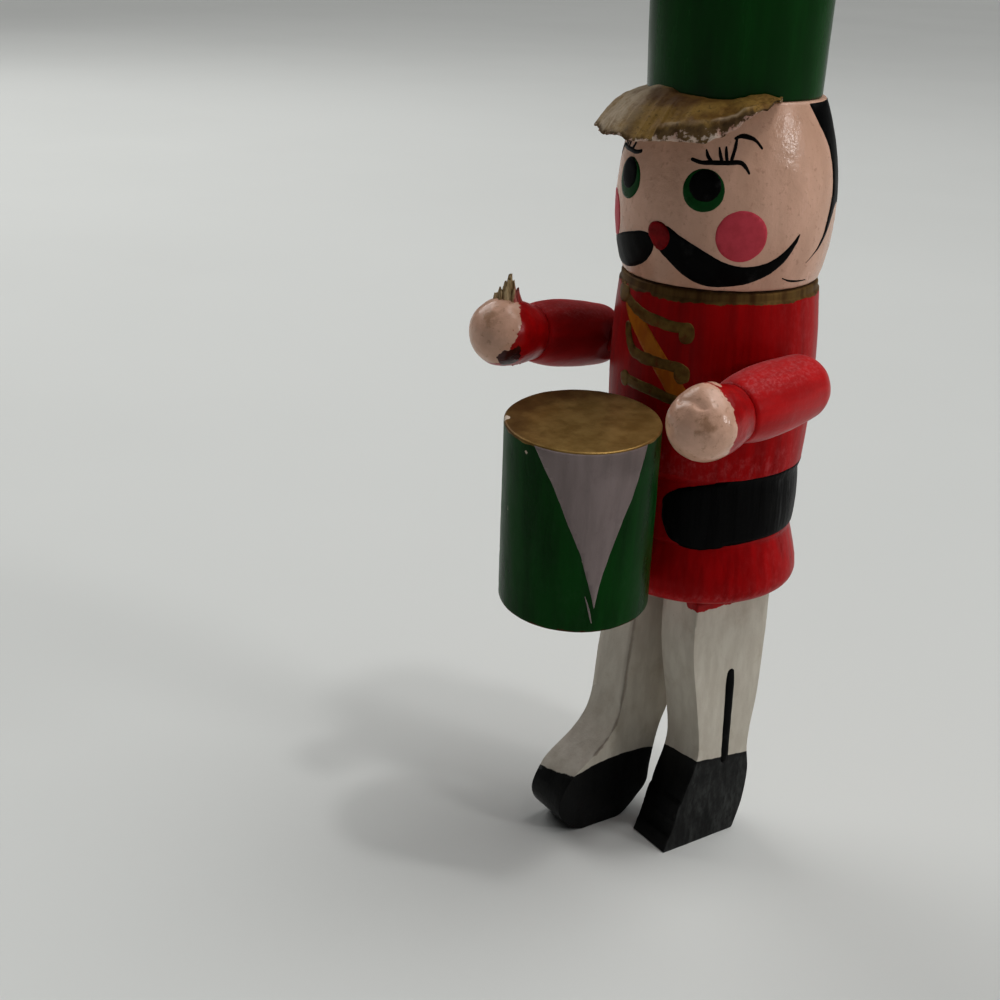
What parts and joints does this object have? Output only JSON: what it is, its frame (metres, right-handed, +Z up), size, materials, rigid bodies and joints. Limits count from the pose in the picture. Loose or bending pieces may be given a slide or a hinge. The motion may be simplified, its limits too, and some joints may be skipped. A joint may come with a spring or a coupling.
{
  "type": "toy soldier figure",
  "caption": "Painted turned-wood drummer soldier ornament: tall hat with a visor, turning head, swinging arms, hung drum, sawn stepping legs and a screw eye for hanging.",
  "frame": {"origin": "under the middle of the whole figure's box, on the surface that the soles stand on", "axes": "+Z up, the figure looks along -Y, its own left side is +X"},
  "size_m": [0.0369, 0.043, 0.1153],
  "materials": {
    "green_enamel": "glossy enamel on wood",
    "red_enamel": "glossy enamel on wood",
    "flesh_enamel": "glossy enamel on wood",
    "white_enamel": "satin enamel on wood",
    "bronze_visor": "stiff felt painted bronze",
    "bare_wood": "bare pale wood",
    "eye_wire": "bright plated wire"
  },
  "bodies": {
    "figure": {"coat": "red_enamel", "left_leg": "white_enamel", "right_leg": "white_enamel", "left_leg_dowel": "bare_wood", "right_leg_dowel": "bare_wood", "drum": "green_enamel", "drum_peg": "bare_wood", "left_shoulder_pin": "bare_wood", "right_shoulder_pin": "bare_wood"},
    "head": {"head": "flesh_enamel", "neck_dowel": "bare_wood", "hat_crown": "green_enamel", "hat_visor": "bronze_visor", "hanger_eye": "eye_wire"},
    "left_arm": {"left_sleeve": "red_enamel", "left_hand": "flesh_enamel", "left_stick_stub": "flesh_enamel"},
    "right_arm": {"right_sleeve": "red_enamel", "right_hand": "flesh_enamel", "right_stick_stub": "bare_wood"}
  },
  "joints": [
    {"name": "head_turn", "type": "hinge", "parent": "figure", "child": "head", "pos_m": [0, 0.00927, 0.07115], "axis": [0, 0, 1], "continuous": true},
    {"name": "left_arm_swing", "type": "hinge", "parent": "figure", "child": "left_arm", "pos_m": [0.0145, 0.00487, 0.0613], "axis": [-1, 0, 0], "range_deg": [-53, 61]},
    {"name": "right_arm_swing", "type": "hinge", "parent": "figure", "child": "right_arm", "pos_m": [-0.0145, 0.00487, 0.0613], "axis": [-1, 0, 0], "range_deg": [-65, 49]}
  ]
}
